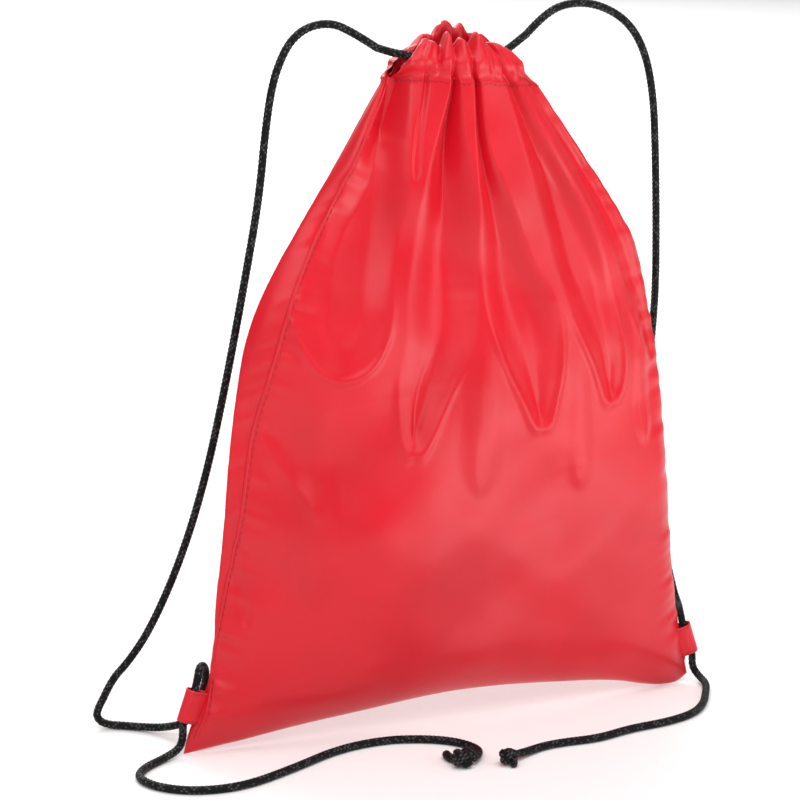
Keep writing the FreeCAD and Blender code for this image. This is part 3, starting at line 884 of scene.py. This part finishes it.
def make_sleeve(front, panel, angles):
    top_row, angle = panel[-1], angles[-1]
    keep = np.abs(np.cos(angle)) < (0.985 if front else 0.9995)
    points = sleeve_points(front, top_row[keep], angle[keep])
    name = "front_sleeve" if front else "back_sleeve"
    item = piece(name, points.reshape(-1, 3), grid_faces(*points.shape[:2]), SLEEVE_CLOTH,
                 "sack")
    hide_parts("front_cord_channel" if front else "back_cord_channel")
    return item


# ---------------------------------------------------------------- seams, stitches and tabs


def ribbon_tube(line, normals, half_width, half_height, around=10):
    """Points and faces of a soft oval strip along a line."""
    ahead = np.gradient(line, axis=0)
    ahead /= np.linalg.norm(ahead, axis=1)[:, None]
    beside = np.cross(ahead, normals)
    beside /= np.linalg.norm(beside, axis=1)[:, None]
    angle = 2 * math.pi * np.arange(around) / around
    place = np.arange(len(line))
    taper = np.minimum(1, np.minimum(place, place[::-1]) / 2 + 0.25)
    sideways = (np.cos(angle)[None, :] * taper[:, None])[..., None] * half_width
    upwards = (np.sin(angle)[None, :] * taper[:, None])[..., None] * half_height
    spots = line[:, None, :] + beside[:, None, :] * sideways + normals[:, None, :] * upwards
    return spots.reshape(-1, 3), tube_faces(len(line), around)


def joined(parts):
    """One set of points and faces from several."""
    points, faces, base = [], [], 0
    for spots, quads in parts:
        points.append(spots)
        faces += [tuple(base + v for v in quad) for quad in quads]
        base += len(spots)
    return np.concatenate(points), faces


def stitches(line, normals, first, pitch, length, lift, radius):
    """Points and faces of single stitches along a line. lift is a stitch's height above the
    cloth, from its start to its end."""
    along = lengths_along(line)
    parts = []
    for start in np.arange(first, along[-1] - length, pitch):
        wanted = np.linspace(start, start + length, len(lift))
        out = sampled(normals, along, wanted)
        stitch = sampled(line, along, wanted) + out * lift[:, None]
        parts.append(ribbon_tube(stitch, out, radius, radius, 6))
    return joined(parts)


def stitch_row(name, line, normals, node, pitch=3.2, length=2.2, radius=0.28):
    """Single stitches lying on the cloth along a line."""
    arched = 0.05 + 0.3 * np.sin(np.linspace(0, math.pi, 6))
    points, faces = stitches(line, normals, pitch / 2, pitch, length, arched, radius)
    item = piece(name, points, faces, THREAD, "sack")
    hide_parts(node)
    return item


def surface_normals(points, front):
    """Unit normals of a grid of points, on the side that faces away from the sack."""
    du = np.gradient(points, axis=1)
    dv = np.gradient(points, axis=0)
    normal = np.cross(du, dv)
    normal /= np.linalg.norm(normal, axis=2)[..., None] + 1e-9
    outward = -1.0 if front else 1.0
    if np.mean(normal[:, :, 1]) * outward < 0:
        normal = -normal
    return normal


def make_seam(side, panel, normals):
    """The welt of cloth that stands along a side seam."""
    column = 0 if side == "left" else -1
    line = panel[6:-3, column]
    out = normals[6:-3, column]
    spots, faces = ribbon_tube(line, out, 1.1, 0.7)
    item = piece(f"{side}_seam_welt", spots, faces, SEAM_CLOTH, "sack")
    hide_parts(f"{side}_side_seam")
    return item


def seam_stitches(side, panel, normals):
    column = 4 if side == "left" else -5
    return stitch_row(f"{side}_seam_stitches", panel[14:-11, column], normals[14:-11, column],
                      f"{side}_seam_stitching", pitch=4.4, length=3.0, radius=0.22)


# The middle of the tape loops in x and z, their lean, half height and thickness.
TAB_PLACE = (161.8, 28.5)
TAB_LEAN = math.radians(19)
TAB_HALF_HEIGHT = 9.5
TAB_THICKNESS = 0.55
TAB_COLUMNS = 61
TAB_ROWS = 15
# Columns of the tape's front half between the sack and the cord, where the stitches lie.
TAB_SEWN = slice(10, 28)


def make_tab(side):
    """A folded tape round the cord, sewn to the corner."""
    sign = -1.0 if side == "left" else 1.0
    outward = curve_through((0, -11), (0.2, -7), (0.36, -1.2), (0.45, 2.2), (0.5, 3.9),
                            (0.55, 2.2), (0.64, -1.2), (0.8, -7), (1, -11))
    spread = curve_through((0, -0.9), (0.2, -2.3), (0.36, -3.6), (0.45, -2.9), (0.5, 0),
                           (0.55, 2.9), (0.64, 3.6), (0.8, 2.3), (1, 0.9))
    t = np.linspace(0, 1, TAB_COLUMNS)
    rows = []
    for up in np.linspace(-TAB_HALF_HEIGHT, TAB_HALF_HEIGHT, TAB_ROWS):
        flare = 1 + 0.05 * math.cos((up / (2 * TAB_HALF_HEIGHT) + 0.5) * 2 * math.pi)
        x = TAB_PLACE[0] + outward(t) * math.cos(TAB_LEAN) - up * math.sin(TAB_LEAN)
        z = TAB_PLACE[1] + outward(t) * math.sin(TAB_LEAN) + up * math.cos(TAB_LEAN)
        rows.append(np.stack([sign * x, spread(t) * flare, z], axis=-1))
    rows = np.array(rows)
    item = piece(f"{side}_corner_loop", rows.reshape(-1, 3), grid_faces(*rows.shape[:2]),
                 TAB_CLOTH, "sack")
    thicken = item.modifiers.new("tape", "SOLIDIFY")
    thicken.thickness = TAB_THICKNESS * MM
    thicken.offset = 0
    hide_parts(f"{side}_corner_tab")
    forward = np.tile((0.0, -1.0, 0.0), (TAB_COLUMNS, 1))[TAB_SEWN]
    points, faces = joined([
        stitches(row[TAB_SEWN], forward, first=0.4, pitch=2.2, length=1.6,
                 lift=np.full(5, 0.45), radius=0.4) for row in (rows[1], rows[-2])])
    thread = piece(f"{side}_loop_stitches", points, faces, THREAD, "sack")
    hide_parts(f"{side}_tab_stitching")


# The hem's stitches follow the panel's last row but one, clear of the seams by this many points.
HEM_STITCH_ROW = (-2, slice(11, -11))


def make_sack():
    front, front_points, front_angles = make_panel(True)
    back, back_points, back_angles = make_panel(False)
    front_normals = surface_normals(front_points, True)
    back_normals = surface_normals(back_points, False)
    front_sleeve = make_sleeve(True, front_points, front_angles)
    back_sleeve = make_sleeve(False, back_points, back_angles)
    front_hem = stitch_row("front_hem_stitches", front_points[HEM_STITCH_ROW],
                           front_normals[HEM_STITCH_ROW], "front_channel_stitching")
    back_hem = stitch_row("back_hem_stitches", back_points[HEM_STITCH_ROW],
                          back_normals[HEM_STITCH_ROW], "back_channel_stitching")
    seams = [make_seam(side, front_points, front_normals) for side in ("left", "right")]
    threads = [seam_stitches(side, front_points, front_normals) for side in ("left", "right")]
    for side in ("left", "right"):
        make_tab(side)


make_cords()
make_sack()
